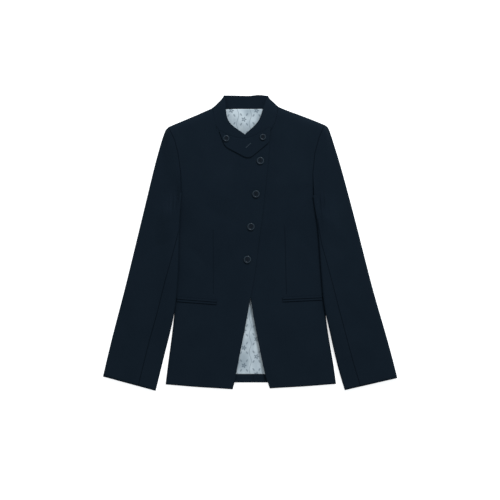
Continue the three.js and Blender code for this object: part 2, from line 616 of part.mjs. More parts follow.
function sleeve(side) {
  const loft = (column, down) => read(SLEEVE_LOFT, 'down', column, down);
  const outerEdge = curve(side.outer);
  const innerEdge = curve(side.inner);
  const forearm = (down) => read(side.forearm, 'down', 'step', down);
  // Direction out of a fold, level with the surface
  const facing = (line, share, turn) => {
    const along = line(share + 0.02).clone().sub(line(share - 0.02)).normalize();
    return new THREE.Vector2(along.y, -along.x).multiplyScalar(-side.out * turn);
  };
  const inFrom = (edge, turn, column) => (down) => (
    edge(down).clone().addScaledVector(facing(edge, down, turn), -loft(column, down))
  );
  const outerFold = inFrom(outerEdge, 1, 'outer');
  const innerFold = inFrom(innerEdge, -1, 'inner');
  const cuff = straight(outerFold(1), innerFold(1));
  const topStart = armholeSeam(side, side.armhole, -1);
  const underStart = chain([curve(side.sleeveUnder), 1], [curve(side.sleeveBack), 1]);
  const rest = (x, y) => {
    const level = crown(side, x, y) + CLOTH + REST;
    const [run, lead] = [read(RIDE, 'y', 'run', y), read(RIDE, 'y', 'lead', y)];
    return mix(FLAT, level, smooth(-run - lead, -lead, overBody(side, x, y)));
  };
  const innerHigh = (down) => rest(innerFold(down).x, innerFold(down).y) + 2 * loft('inner', down);
  const folds = (across, down) => SLEEVE_FOLDS.reduce((sum, fold) => {
    const off = (down - fold.down - fold.slant * (across - 0.5)) / fold.width;
    const reach = Math.exp(-(((across - fold.across) / 0.35) ** 2));
    return sum + fold.rise * reach * Math.exp(-off * off);
  }, 0);

  const topHeight = (p, across, down) => {
    const over = smooth(-50, 10, overBody(side, p.x, p.y)) * read(RIDE, 'y', 'share', p.y);
    const ride = (crown(side, p.x, p.y) + CLOTH + REST - FLAT) * over;
    const tube = FLAT + 2 * SLEEVE_ROUND + ride + 1.2 * Math.sin(Math.PI * across) + folds(across, down);
    const cloth = mix(bodyHeight(side, p.x, p.y), tube, smooth(0, 0.2, down));
    const reach = mix(0.03, 0.4, smooth(0, 0.2, down));
    const outer = mix(FLAT + 2 * loft('outer', down), cloth, smooth(0, reach, across));
    return mix(outer, innerHigh(down), smooth(0.62, 1, across));
  };

  const around = (fold, facingOut, round, low, high, angle) => {
    const p = fold.clone().addScaledVector(facingOut, round * Math.cos(angle));
    return new THREE.Vector3(p.x, p.y, (low + high) / 2 + ((high - low) / 2) * Math.sin(angle));
  };

  const surface = (steps, down) => {
    const step = ((steps % ROUND_TRIP) + ROUND_TRIP) % ROUND_TRIP;
    if (step <= INNER_FOLD) {
      const across = step / TOP_STEPS;
      const p = between(topStart, cuff, outerFold, innerFold, across, down);
      return new THREE.Vector3(p.x, p.y, topHeight(p, across, down));
    }
    if (step <= UNDERSIDE) {
      const fold = innerFold(down);
      const angle = Math.PI * (0.5 - (step - INNER_FOLD) / FOLD_STEPS);
      const [low, high] = [rest(fold.x, fold.y), innerHigh(down)];
      return around(fold, facing(innerEdge, down, -1), loft('inner', down), low, high, angle);
    }
    if (step <= OUTER_FOLD) {
      const across = (step - UNDERSIDE) / UNDER_STEPS;
      const p = between(underStart, reverse(cuff), innerFold, outerFold, across, down);
      return new THREE.Vector3(p.x, p.y, rest(p.x, p.y));
    }
    const angle = Math.PI * ((step - OUTER_FOLD) / FOLD_STEPS - 0.5);
    const round = loft('outer', down);
    return around(outerFold(down), facing(outerEdge, down, 1), round, FLAT, FLAT + 2 * round, angle);
  };

  // A step moved along the cloth by half the seam's gap
  const besideSeam = (steps, down, gap) => {
    const probe = 0.02;
    const reach = surface(steps + probe, down).distanceTo(surface(steps - probe, down)) / (2 * probe);
    return steps + gap / 2 / reach;
  };
  // Out of the tube's cloth, from close neighbours round it and down it
  const posed = (steps, down) => {
    const [round, run] = [0.05, 0.002];
    const across = surface(steps + round, down).sub(surface(steps - round, down));
    const along = surface(steps, Math.min(1, down + run)).sub(surface(steps, Math.max(0, down - run)));
    const at = surface(steps, down);
    return { at, out: across.cross(along).normalize().multiplyScalar(side.out) };
  };
  const hindarm = (down) => loft('hindarm', down);
  const topShares = [...closerAtStart(INNER_FOLD).map((share) => share * INNER_FOLD), SEAM_AT_TOP];
  const top = ROWS_DOWN.map((down) => {
    const from = besideSeam(hindarm(down), down, HINDARM_SEAM);
    const to = besideSeam(forearm(down), down, -SEAM);
    return [
      ...shares(4).slice(0, -1).map((share) => mix(from, OUTER_FOLD, share)),
      ...shares(FOLD_STEPS).slice(0, -1).map((share) => mix(OUTER_FOLD, ROUND_TRIP, share)),
      ...topShares.map((step) => ROUND_TRIP + (to * step) / SEAM_AT_TOP),
    ].map((step) => posed(step, down));
  });
  const under = ROWS_DOWN.map((down) => {
    const from = besideSeam(forearm(down), down, SEAM);
    const to = besideSeam(hindarm(down), down, -HINDARM_SEAM);
    return [
      ...shares(6).slice(0, -1).map((share) => mix(from, UNDERSIDE, share)),
      ...shares(8).map((share) => mix(UNDERSIDE, to, share)),
    ].map((step) => posed(step, down));
  });
  return { top: wall(top, CLOTH), under: wall(under, CLOTH) };
}

// The whole blazer

const blazer = new THREE.Group();
blazer.name = 'blazer';

function add(name, geometry, material) {
  const mesh = new THREE.Mesh(geometry, material);
  mesh.name = name;
  blazer.add(mesh);
  return mesh;
}

const overEdgeAt = (y) => read(OVER_EDGE.map(([x, py]) => ({ x, y: py })), 'y', 'x', y);
const underlap = (x, y) => -UNDERLAP_DROP * (1 - smooth(4, 30, x - overEdgeAt(y)));
const overNeck = [
  [neckSeam(RIGHT, 1), NECK_STEPS],
  [(share) => neckSeam(LEFT, 1)(1 - (share * OVERLAP_NECK_STEPS) / NECK_STEPS), OVERLAP_NECK_STEPS],
];

add('front_right', front(RIGHT, OVER_EDGE, overNeck), wool());
add('front_left', front(LEFT, UNDER_EDGE, [[neckSeam(LEFT, 1), NECK_STEPS]], underlap), wool());
for (const side of [RIGHT, LEFT]) {
  add(`side_${side.name}`, sidePanel(side), wool());
  add(`back_${side.name}`, back(side), wool());
  add(`hem_band_${side.name}`, hemBand(side), wool());
  add(`collar_${side.name}`, halfCollar(side), wool());
  const pieces = sleeve(side);
  add(`sleeve_top_${side.name}`, pieces.top, wool());
  add(`sleeve_under_${side.name}`, pieces.under, wool());
}
add('collar_back', stand(), wool());
add('throat_tab', tab(), wool());
add('lining', lining(), satin());
for (const pocket of POCKETS) {
  add(`pocket_${pocket.side.name}_welt_upper`, welt(pocket, true), wool());
  add(`pocket_${pocket.side.name}_welt_lower`, welt(pocket, false), wool());
}
for (const spec of BUTTONS) seatButton(add(spec.name, button(spec), gloss()), spec);

// The origin is on the surface, under the middle of the laid garment
const laid = new THREE.Box3().setFromObject(blazer, true).getCenter(new THREE.Vector3());
blazer.position.set(-laid.x, -laid.y, 0);

export default blazer;
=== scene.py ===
import math

import bpy
import numpy as np
from mathutils import Matrix, Vector, noise


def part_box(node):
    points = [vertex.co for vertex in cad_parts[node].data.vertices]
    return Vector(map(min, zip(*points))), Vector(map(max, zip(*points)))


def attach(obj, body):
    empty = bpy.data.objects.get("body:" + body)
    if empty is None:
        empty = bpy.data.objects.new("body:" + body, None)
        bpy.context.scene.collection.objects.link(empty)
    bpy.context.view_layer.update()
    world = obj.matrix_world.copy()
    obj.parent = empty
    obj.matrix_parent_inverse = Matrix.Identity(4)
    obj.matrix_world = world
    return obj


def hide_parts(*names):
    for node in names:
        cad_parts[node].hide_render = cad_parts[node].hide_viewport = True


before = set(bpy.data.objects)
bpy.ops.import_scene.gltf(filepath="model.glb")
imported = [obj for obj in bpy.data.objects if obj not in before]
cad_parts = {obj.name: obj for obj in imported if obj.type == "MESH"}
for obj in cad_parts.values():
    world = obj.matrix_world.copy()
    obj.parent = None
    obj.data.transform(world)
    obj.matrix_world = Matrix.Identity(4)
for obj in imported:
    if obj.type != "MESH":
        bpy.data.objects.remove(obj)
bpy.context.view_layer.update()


# Fronts: two panels of fine matt navy worsted, the right one lapped over the left one. Each is shaped by a
# dart from under the bust to the pocket, is turned round the side fold to meet the side panel, and swings
# away below the last button.
MM = 0.001
NAVY_YARN = (0.0041, 0.0078, 0.0131, 1.0)
NAVY_FUZZ = (0.0085, 0.0146, 0.0223, 1.0)
# The colour of the painted shade along seam, dart and pocket lines
NAVY_SEAM_SHADE = (0.0008, 0.0018, 0.0034, 1.0)
TWILL_PITCH = 0.9
YARN_LENGTH = 4.0
# How many turns the yarns, the nap and the broad mottle make in a mm
YARN_TURNS, NAP_TURNS, MOTTLE_TURNS = 1.4, 0.33, 0.016
# What shares of the weave its ribs, yarns and nap are, and of the colour the weave and the mottle
RIB_SHARE, YARN_SHARE, NAP_SHARE = 0.34, 0.26, 0.40
WEAVE_SHARE, MOTTLE_SHARE = 0.62, 0.38
WOOL_ROUGHNESS, WOOL_ROUGHER = 0.80, 0.14
WOOL_RELIEF = 0.10
WOOL_GLOSS = 0.02
# A seam line, sunk as a groove and darkened with painted shade: how far to each side it is whole and where
# it ends, the groove's depth against the weave's, and the heights that it sets in between, in mm
GROOVE_SHADE_WHOLE, GROOVE_SHADE_END = 0.2, 1.4
GROOVE_DEPTH = 3.0
GROOVE_SHADE_FROM, GROOVE_SHADE_TO = 3.0, 5.5


class Value:
    """A number that runs through a finish; sums on it add their Math nodes."""

    def __init__(self, nodes, socket):
        self.nodes, self.socket = nodes, socket

    def sum(self, operation, *others, first=None):
        """Adds one Math node; first is a plain number that goes before this value."""
        made = self.nodes.new("ShaderNodeMath")
        made.operation = operation
        terms = [self, *others] if first is None else [first, self]
        for entry, term in zip(made.inputs, terms):
            if isinstance(term, Value):
                self.nodes.id_data.links.new(term.socket, entry)
            else:
                entry.default_value = term
        return Value(self.nodes, made.outputs[0])

    def __add__(self, other):
        return self.sum("ADD", other)

    def __radd__(self, other):
        return self.sum("ADD", other)

    def __sub__(self, other):
        return self.sum("SUBTRACT", other)

    def __rsub__(self, other):
        return self.sum("SUBTRACT", first=other)

    def __mul__(self, other):
        return self.sum("MULTIPLY", other)

    def __rmul__(self, other):
        return self.sum("MULTIPLY", other)

    def __truediv__(self, other):
        return self.sum("DIVIDE", other)

    def __pow__(self, other):
        return self.sum("POWER", other)

    def within(self, low, high):
        """0 below low and 1 above high, with a soft step between."""
        share = (self - low) / (high - low)
        share = share.sum("MAXIMUM", 0.0).sum("MINIMUM", 1.0)
        return share * share * (3.0 - 2.0 * share)


class Finish:
    """A material that is put together node by node."""

    def __init__(self, name):
        self.material = bpy.data.materials.new(name)
        self.material.use_nodes = True
        self.nodes = self.material.node_tree.nodes
        self.nodes.clear()

    def node(self, kind, settings=None, values=None):
        """Adds a node of a kind: its settings first, then the values or links of its sockets."""
        made = self.nodes.new("ShaderNode" + kind)
        for key, setting in (settings or {}).items():
            setattr(made, key, setting)
        for key, value in (values or {}).items():
            if isinstance(value, Value):
                self.material.node_tree.links.new(value.socket, made.inputs[key])
            elif isinstance(value, bpy.types.NodeSocket):
                self.material.node_tree.links.new(value, made.inputs[key])
            else:
                made.inputs[key].default_value = value
        return made

    def value(self, socket):
        """A node's output as a number to reckon with."""
        return Value(self.nodes, socket)

    def place(self):
        """The place on the object in mm, as a vector and as its x, y and z."""
        spot = self.node("TexCoord").outputs["Object"]
        scaled = self.node("VectorMath", {"operation": "SCALE"}, {"Vector": spot, "Scale": 1 / MM})
        parts = self.node("SeparateXYZ", values={"Vector": scaled.outputs["Vector"]})
        return scaled.outputs["Vector"], [self.value(parts.outputs[axis]) for axis in "XYZ"]

    def along_grain(self):
        """The place along the cloth's own grain in mm: a vector, across and along."""
        grain = self.node("UVMap", {"uv_map": "Grain"}).outputs["UV"]
        scaled = self.node("VectorMath", {"operation": "SCALE"}, {"Vector": grain, "Scale": 1 / MM})
        parts = self.node("SeparateXYZ", values={"Vector": scaled.outputs["Vector"]})
        return scaled.outputs["Vector"], self.value(parts.outputs["X"]), self.value(parts.outputs["Y"])

    def cloud(self, place, scale, detail=2.0, stretch=(1.0, 1.0, 1.0)):
        """Soft unevenness from 0 to 1; scale is how many turns it makes in a mm."""
        stretched = self.node(
            "Mapping", {"vector_type": "POINT"}, {"Vector": place, "Scale": stretch}
        ).outputs["Vector"]
        made = self.node("TexNoise", values={"Vector": stretched, "Scale": scale, "Detail": detail})
        return self.value(made.outputs["Fac"])

    def blend(self, share, low, high):
        """One colour going over into another by a share."""
        mixed = self.node("Mix", {"data_type": "RGBA"}, {0: share, 6: low, 7: high})
        return mixed.outputs[2]

    def raised(self, height, depth):
        """A relief of that depth in mm."""
        made = self.node("Bump", values={"Height": height, "Distance": depth * MM, "Strength": 1.0})
        return made.outputs["Normal"]

    def close(self, colour, roughness, normal, **others):
        """Sends everything to the surface; others are the same all over it."""
        surface = self.node(
            "BsdfPrincipled",
            values={"Base Color": colour, "Roughness": roughness, "Normal": normal, **others},
        )
        self.node("OutputMaterial", values={"Surface": surface.outputs["BSDF"]})
        return self.material


def wool(name, lines=()):
    """The navy wool, with lines sunk into its upper side as grooves and darkened along them with painted
    shade: each one's ends in mm and its strength.
    """
    cloth = Finish(name)
    place, (x, y, z) = cloth.place()
    grain, across, along = cloth.along_grain()
    rib = ((across + along) * (2 * math.pi / TWILL_PITCH)).sum("SINE") * 0.5 + 0.5
    yarn = cloth.cloud(grain, YARN_TURNS, stretch=(1.0, 1.0 / YARN_LENGTH, 1.0))
    nap = cloth.cloud(place, NAP_TURNS, detail=3.0)
    mottle = cloth.cloud(place, MOTTLE_TURNS)
    weave = rib * RIB_SHARE + yarn * YARN_SHARE + nap * NAP_SHARE
    light = weave * WEAVE_SHARE + mottle * MOTTLE_SHARE
    colour = cloth.blend(light, NAVY_YARN, NAVY_FUZZ)
    groove_and_shade = None
    for x0, y0, x1, y1, strength in lines:
        long = (x1 - x0) ** 2 + (y1 - y0) ** 2
        share = ((x - x0) * (x1 - x0) + (y - y0) * (y1 - y0)) / long
        share = share.sum("MAXIMUM", 0.0).sum("MINIMUM", 1.0)
        off_x, off_y = x - x0 - share * (x1 - x0), y - y0 - share * (y1 - y0)
        off = (off_x * off_x + off_y * off_y) ** 0.5
        line = (1.0 - off.within(GROOVE_SHADE_WHOLE, GROOVE_SHADE_END)) * strength
        groove_and_shade = line if groove_and_shade is None else groove_and_shade.sum("MAXIMUM", line)
    height = weave
    if lines:
        # The lines darken the colour with painted shade, as falls into their grooves, and also sink the
        # relief
        groove_and_shade = groove_and_shade * z.within(GROOVE_SHADE_FROM, GROOVE_SHADE_TO)
        colour = cloth.blend(groove_and_shade, colour, NAVY_SEAM_SHADE)
        height = weave - groove_and_shade * GROOVE_DEPTH
    return cloth.close(
        colour,
        WOOL_ROUGHNESS + weave * WOOL_ROUGHER,
        cloth.raised(height, WOOL_RELIEF),
        **{"Specular IOR Level": WOOL_GLOSS},
    )


# The armholes, as lines of points in mm, along which the cloth gets a groove and painted shade
RIGHT_ARMHOLE = ((-194.6, 274.1), (-180.6, 245.0), (-172.6, 213.5), (-165.8, 165.5), (-165.6, 118.5))
LEFT_ARMHOLE = ((176.4, 278.9), (164.4, 250.7), (154.3, 213.5), (149.5, 165.5), (151.9, 112.5))
ARMHOLE_STRENGTH = 0.62


def groove_and_shade_along(line, strength):
    """The rows for wool() that sink a line of points as a groove with painted shade."""
    return [(*start, *end, strength) for start, end in zip(line, line[1:])]


armhole_lines = [
    row for line in (RIGHT_ARMHOLE, LEFT_ARMHOLE) for row in groove_and_shade_along(line, ARMHOLE_STRENGTH)
]
# Where each front gets a groove with painted shade, in mm with the strength: its dart, and the seam below
# its pocket
FRONT_LINES = [
    (-88.6, 30.0, -88.2, -123.0, 0.34),
    (82.2, 38.0, 86.4, -123.0, 0.46),
    (-80.4, -148.6, -175.2, -141.4, 0.55),
    (77.4, -142.2, 172.2, -137.8, 0.55),
]

# Soft creases of the laid cloth: the ends of each in mm, its half width, its rise and its bow
CREASES = (
    ("over the right bust to the fastening", -118, 150, -22, 92, 15, 0.55, 7),
    ("below it", -122, 96, -30, 52, 12, -0.60, 5),
    ("hollow beside the third button", -72, 70, -14, 26, 17, -0.75, -6),
    ("from the third button down", -44, 24, -20, -74, 13, 0.45, 5),
    ("right waist", -150, -8, -100, -66, 11, -0.60, -5),
    ("right waist, lower", -156, -46, -112, -96, 8, 0.40, -4),
    ("right flank under the sleeve", -166, 20, -150, -120, 12, 0.55, 4),
    ("under the tab's point", -62, 190, -8, 168, 14, -0.45, -5),
    ("right shoulder to chest", -158, 262, -112, 196, 13, -0.60, 6),
    ("right chest", -120, 248, -86, 158, 15, 0.50, 4),
    ("left chest", 64, 226, 118, 168, 17, 0.55, -6),
    ("left shoulder to chest", 140, 250, 92, 176, 12, -0.50, -5),
    ("left armhole pull", 146, 134, 92, 96, 9, -0.55, 5),
    ("left armhole pull, lower", 148, 112, 104, 54, 8, 0.40, 6),
    ("left waist", 62, 26, 120, -28, 13, 0.50, -6),
    ("left waist to the flank", 96, 44, 158, -66, 10, -0.65, -9),
    ("left flank", 118, -8, 166, -104, 9, 0.50, -7),
    ("left of the last button", 16, -60, 62, -112, 11, -0.45, 4),
    ("right skirt", -130, -168, -148, -306, 22, 0.70, 7),
    ("right skirt, inner", -74, -176, -60, -312, 18, -0.60, -5),
    ("right front edge", -30, -150, -52, -290, 13, 0.40, 3),
    ("left skirt", 128, -164, 152, -300, 20, 0.65, -6),
    ("left skirt, inner", 76, -170, 70, -318, 19, -0.65, 4),
    ("left front edge", 22, -168, 44, -292, 12, 0.40, -3),
    ("right sleeve below the cap", -176, 218, -214, 150, 12, -0.60, 6),
    ("right sleeve, front", -186, 150, -212, 30, 14, 0.60, -6),
    ("right sleeve, middle trough", -206, 128, -222, -24, 16, -0.85, 5),
    ("right elbow, upper", -172, 44, -246, 14, 10, 0.70, -5),
    ("right elbow, crossing", -176, 8, -262, -38, 9, -0.80, 6),
    ("right elbow, lower", -186, -44, -262, -72, 11, 0.55, 4),
    ("right forearm", -232, -96, -276, -212, 15, -0.60, -6),
    ("right cuff", -262, -238, -306, -322, 18, 0.60, 5),
    ("left sleeve below the cap", 160, 214, 196, 158, 11, -0.55, -5),
    ("left upper sleeve", 166, 158, 206, 66, 12, 0.65, 6),
    ("left elbow drag", 158, 108, 226, 40, 10, -0.90, -7),
    ("left elbow, second", 160, 74, 238, -8, 9, 0.70, -6),
    ("left elbow, third", 172, 26, 254, -54, 12, -0.60, 5),
    ("left forearm", 218, -62, 268, -180, 15, 0.60, 6),
    ("left forearm, lower", 224, -150, 300, -244, 13, -0.55, -6),
    ("left cuff", 258, -232, 316, -318, 18, 0.55, -5),
    ("collar, right", -74, 300, -34, 254, 8, -0.25, 3),
    ("collar, left", 50, 296, 18, 262, 8, 0.20, -3),
)

# Creases pressed into the side that lies underneath, as shallow hollows
UNDER_CREASES = (
    ("right shoulder blade", -150, 236, -96, 120, 14, 0.42, 7),
    ("right back", -112, 96, -70, -40, 17, 0.50, -6),
    ("right back waist", -168, 20, -60, -24, 11, 0.46, 5),
    ("right back waist, lower", -160, -40, -48, -66, 9, 0.36, -5),
    ("right skirt back", -116, -120, -132, -300, 20, 0.48, 6),
    ("left shoulder blade", 140, 240, 84, 132, 13, 0.44, -6),
    ("left back", 104, 84, 76, -36, 16, 0.46, 5),
    ("left back waist", 160, 12, 64, -34, 10, 0.50, -5),
    ("left back waist, lower", 156, -58, 70, -76, 12, 0.34, 4),
    ("left skirt back", 110, -132, 138, -308, 19, 0.50, -7),
    ("centre back pull", -22, 300, 18, 210, 12, 0.30, 4),
    ("right sleeve back, elbow", -214, 60, -258, -20, 10, 0.52, -5),
    ("right sleeve back, lower", -220, -30, -282, -96, 11, 0.44, 5),
    ("right sleeve back, cuff", -268, -200, -318, -300, 16, 0.40, 5),
    ("left sleeve back, elbow", 206, 52, 256, -30, 10, 0.50, 6),
    ("left sleeve back, lower", 216, -44, 286, -110, 12, 0.42, -5),
    ("left sleeve back, cuff", 262, -206, 316, -296, 15, 0.42, -6),
)

# The shape of a crease: how wide its ends are against its middle, and how it fades along its length
END_WIDTH, MIDDLE_WIDER = 0.65, 0.35
FADE_SPAN, FADE_START, FADE_POWER = 0.86, 0.07, 0.8

# Heights in mm between which the upper side's creases set in, and the under side's end
UPPER_FROM, UPPER_TO = 3.2, 8.5
UNDER_FROM, UNDER_TO = 0.35, 0.9
DEEPEST_HOLLOW = 0.6
# The cloth's broad unevenness: its size across and along in mm, and its rise above and underneath
UNEVEN_ACROSS, UNEVEN_ALONG = 41, 58
UNEVEN_ABOVE, UNEVEN_UNDER = 0.28, 0.10

# Making a solid's mesh into cloth: distances in mm, angles in degrees
SAME_POINT = 0.01
WOOL_LEVELS = 3
FOLD_ANGLE = 52
RIM_ANGLE = 45
RIM_ROLLS = 3
ANY_ANGLE = 3.1  # in radians
SEAM_FILL = 0.16
ALL = ("",)
FRONT_SIDES = ("front", "side")
BACKS = ("back", "hem", "lining")
# Where the cloth lies a little off its solid, in mm: the pieces, the middle in x and the distances from
# it between which the move sets in, the places in y between which it sets in, and the move
PLAN_MOVES = (
    ("back of the neck", ALL, -10, 76, 60, 292, 317, 0, 2.8),
    ("top of the collar", ALL, -10, 76, 60, 322, 346, 0, -1.6),
    ("collar's top, left part", ALL, 16, 18, 0, 322, 346, 0, 1.2),
    ("collar's left corner", ALL, 42, 16, 0, 326, 350, 0, -2.4),
    ("shoulders", ALL, 0, 80, 120, 255, 285, 0, 1.0),
    ("hem of the fronts", FRONT_SIDES, 0, -2, -1, -270, -332, 0, -2.5),
    ("hem of the back, toward the sides", BACKS, 0, 60, 110, -270, -332, 0, -2.5),
    ("hem, toward the sides", FRONT_SIDES + BACKS, 0, 50, 140, -270, -332, 0, -1.5),
    ("right cuff", ("sleeve_top_right", "sleeve_under_right"), 0, -2, -1, -250, -325, -0.65, -2.5),
    ("left cuff", ("sleeve_top_left", "sleeve_under_left"), 0, -2, -1, -250, -325, 0.4, -1.65),
)


def crease_height(creases, x, y):
    """How far the creases lift each place, in mm."""
    total = np.zeros(len(x))
    for _, x0, y0, x1, y1, width, rise, bow in creases:
        run_x, run_y = x1 - x0, y1 - y0
        long = math.hypot(run_x, run_y)
        share = ((x - x0) * run_x + (y - y0) * run_y) / long**2
        inside = np.clip(share, 0, 1)
        off = ((x - x0) * run_y - (y - y0) * run_x) / long - bow * 4 * inside * (1 - inside)
        wide = width * (END_WIDTH + MIDDLE_WIDER * np.sin(math.pi * inside))
        past = np.maximum(np.maximum(-share, share - 1), 0) * long / width
        fade = np.sin(math.pi * np.clip(share * FADE_SPAN + FADE_START, 0, 1)) ** FADE_POWER
        total += rise * fade * np.exp(-((off / wide) ** 2)) * np.exp(-(past**2))
    return total


def soft_step(value, low, high):
    """0 at low and 1 at high, with a soft step between."""
    share = np.clip((value - low) / (high - low), 0, 1)
    return share * share * (3 - 2 * share)


def points_of(piece):
    """The places of a piece's points, in metres."""
    points = np.zeros(len(piece.data.vertices) * 3)
    piece.data.vertices.foreach_get("co", points)
    return points.reshape(-1, 3)


def set_points(piece, points):
    """Puts a piece's points at those places, in metres."""
    piece.data.vertices.foreach_set("co", points.ravel())
    piece.data.update()


def alone(piece):
    """Leaves only that piece selected, and makes it the active one."""
    bpy.ops.object.select_all(action="DESELECT")
    piece.select_set(True)
    bpy.context.view_layer.objects.active = piece


def lay_creases(piece):
    """Moves the upper layer by the creases, and hollows the side that lies underneath."""
    points = points_of(piece)
    x, y, z = (points / MM).T
    uneven = np.array(
        [noise.noise((across / UNEVEN_ACROSS, along / UNEVEN_ALONG, 0.3)) for across, along in zip(x, y)]
    )
    upper = soft_step(z, UPPER_FROM, UPPER_TO)
    rise = (crease_height(CREASES, x, y) + UNEVEN_ABOVE * uneven) * upper
    hollow = np.clip(crease_height(UNDER_CREASES, x, y) + UNEVEN_UNDER * uneven, 0, DEEPEST_HOLLOW)
    under = (1 - soft_step(z, UNDER_FROM, UNDER_TO)) * hollow
    points[:, 2] += (rise + under) * MM
    set_points(piece, points)


def close_seams(piece):
    """Moves the upright faces outward, so that pieces sewn to each other all but touch."""
    normals = np.zeros(len(piece.data.vertices) * 3)
    piece.data.vertices.foreach_get("normal", normals)
    normals = normals.reshape(-1, 3)
    points = points_of(piece)
    points[:, :2] += normals[:, :2] * SEAM_FILL * MM
    set_points(piece, points)


def settle(piece, node):
    """Moves the cloth in plan to where it lies at the neck, shoulders, hem and cuffs."""
    points = points_of(piece)
    x, y, _ = (points / MM).T
    for _, nodes, middle, far, near, start, end, across, up in PLAN_MOVES:
        if node.startswith(nodes):
            share = soft_step(np.abs(x - middle), far, near) * soft_step(y, start, end)
            points[:, 0] += across * share * MM
            points[:, 1] += up * share * MM
    set_points(piece, points)


def lay_grain(piece, turn):
    """Writes the cloth's grain: metres across and along it, turned by that many degrees."""
    layer = piece.data.uv_layers.new(name="Grain")
    corners = np.zeros(len(piece.data.loops), dtype=np.int64)
    piece.data.loops.foreach_get("vertex_index", corners)
    points = points_of(piece)[corners]
    c, s = math.cos(math.radians(turn)), math.sin(math.radians(turn))
    x, y = points[:, 0], points[:, 1]
    grain = np.stack([x * c + y * s, y * c - x * s], axis=1)
    layer.data.foreach_set("uv", grain.ravel())


def cut_cloth(name, node, finish, levels, turn=0.0):
    """A piece of cloth on the form of its solid: finer, with rolled edges and its creases."""
    piece = bpy.data.objects.new(name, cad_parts[node].data.copy())
    bpy.context.scene.collection.objects.link(piece)
    piece.data.name = name
    alone(piece)
    bpy.ops.mesh.customdata_custom_splitnormals_clear()
    bpy.ops.object.mode_set(mode="EDIT")
    bpy.ops.mesh.select_all(action="SELECT")
    bpy.ops.mesh.remove_doubles(threshold=SAME_POINT * MM)
    bpy.ops.mesh.tris_convert_to_quads(face_threshold=ANY_ANGLE, shape_threshold=ANY_ANGLE)
    bpy.ops.mesh.select_all(action="DESELECT")
    bpy.ops.mesh.select_mode(type="EDGE")
    bpy.ops.mesh.edges_select_sharp(sharpness=math.radians(FOLD_ANGLE))
    bpy.ops.object.mode_set(mode="OBJECT")
    sharp = np.zeros(len(piece.data.edges), dtype=bool)
    piece.data.edges.foreach_get("select", sharp)
    crease = piece.data.attributes.new("crease_edge", "FLOAT", "EDGE")
    crease.data.foreach_set("value", sharp.astype(np.float32))
    finer = piece.modifiers.new("Finer", "SUBSURF")
    finer.levels = finer.render_levels = levels
    bpy.ops.object.modifier_apply(modifier=finer.name)
    piece.data.attributes.remove(piece.data.attributes["crease_edge"])
    bpy.ops.object.mode_set(mode="EDIT")
    bpy.ops.mesh.select_all(action="DESELECT")
    bpy.ops.mesh.edges_select_sharp(sharpness=math.radians(RIM_ANGLE))
    bpy.ops.mesh.vertices_smooth(factor=0.5, repeat=RIM_ROLLS, xaxis=False, yaxis=False)
    bpy.ops.mesh.select_all(action="DESELECT")
    bpy.ops.object.mode_set(mode="OBJECT")
    close_seams(piece)
    lay_creases(piece)
    settle(piece, node)
    for old in list(piece.data.uv_layers):
        piece.data.uv_layers.remove(old)
    lay_grain(piece, turn)
    piece.data.materials.clear()
    piece.data.materials.append(finish)
    bpy.ops.object.shade_smooth()
    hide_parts(node)
    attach(piece, "root")
    return piece


def wool_piece(name, node, finish, turn=0.0):
    """A piece of the wool, cut on the form of its solid."""
    piece = cut_cloth(name, node, finish, WOOL_LEVELS, turn)
    return piece


front_wool = wool("navy wool of the fronts with painted seam shade", FRONT_LINES + armhole_lines)
front_right = wool_piece(
    "right_front_cloth",
    "front_right",
    front_wool,
)
front_left = wool_piece(
    "left_front_cloth",
    "front_left",
    front_wool,
)


# Back and sides: two wool back panels joined down the centre lie flat underneath, and a narrow wool side
# panel turns up from each to meet the front below the armhole.
plain_wool = wool("navy wool")
wool_piece("right_back_cloth", "back_right", plain_wool)
wool_piece("left_back_cloth", "back_left", plain_wool)
wool_piece("right_side_cloth", "side_right", plain_wool)
wool_piece("left_side_cloth", "side_left", plain_wool)


# Sleeves: each is two pieces of the wool. The upper one is set into the armhole and turns round the
# outer fold, and the under one meets it at the forearm seam in front and at the hindarm seam underneath.
# The cuffs are open and plain.
SLEEVE_SLANT = 14.0
# The forearm seams, as lines of points in mm, grooved and darkened with painted shade
RIGHT_FOREARM = (
    (-171.5, 25), (-187.3, -35.6), (-203.0, -90.2), (-224.9, -178.0), (-240.8, -233.6), (-267.6, -343.0),
)
LEFT_FOREARM = (
    (160.7, 56.0), (163.7, 37.3), (170.4, -4.6), (180.9, -41.0), (195.7, -95.3), (218.3, -182.9),
    (232.8, -238.1), (247.7, -293.1), (262.8, -342.5),
)
FOREARM_STRENGTH = 0.5
# How far the sleeve is drawn to its armhole in mm, up to where it is whole and where it ends, and the same
# for its head's corner, whose move is whole in that share of its reach
ARMHOLE_FILL = 0.75
ARMHOLE_WHOLE, ARMHOLE_REACH = 2.0, 10.0
HEAD_FILL, HEAD_RISE = 0.55, 0.1
HEAD_REACH = 9.0
CORNER_WHOLE = 0.3
forearm_lines = [
    row for line in (RIGHT_FOREARM, LEFT_FOREARM) for row in groove_and_shade_along(line, FOREARM_STRENGTH)
]
sleeve_wool = wool("navy wool of the sleeves with painted seam shade", forearm_lines + armhole_lines)
right_sleeve_top = wool_piece(
    "right_sleeve_top_cloth",
    "sleeve_top_right",
    sleeve_wool,
    -SLEEVE_SLANT,
)
left_sleeve_top = wool_piece(
    "left_sleeve_top_cloth",
    "sleeve_top_left",
    sleeve_wool,
    SLEEVE_SLANT,
)
wool_piece(
    "right_sleeve_under_cloth",
    "sleeve_under_right",
    sleeve_wool,
    -SLEEVE_SLANT,
)
wool_piece(
    "left_sleeve_under_cloth",
    "sleeve_under_left",
    sleeve_wool,
    SLEEVE_SLANT,
)


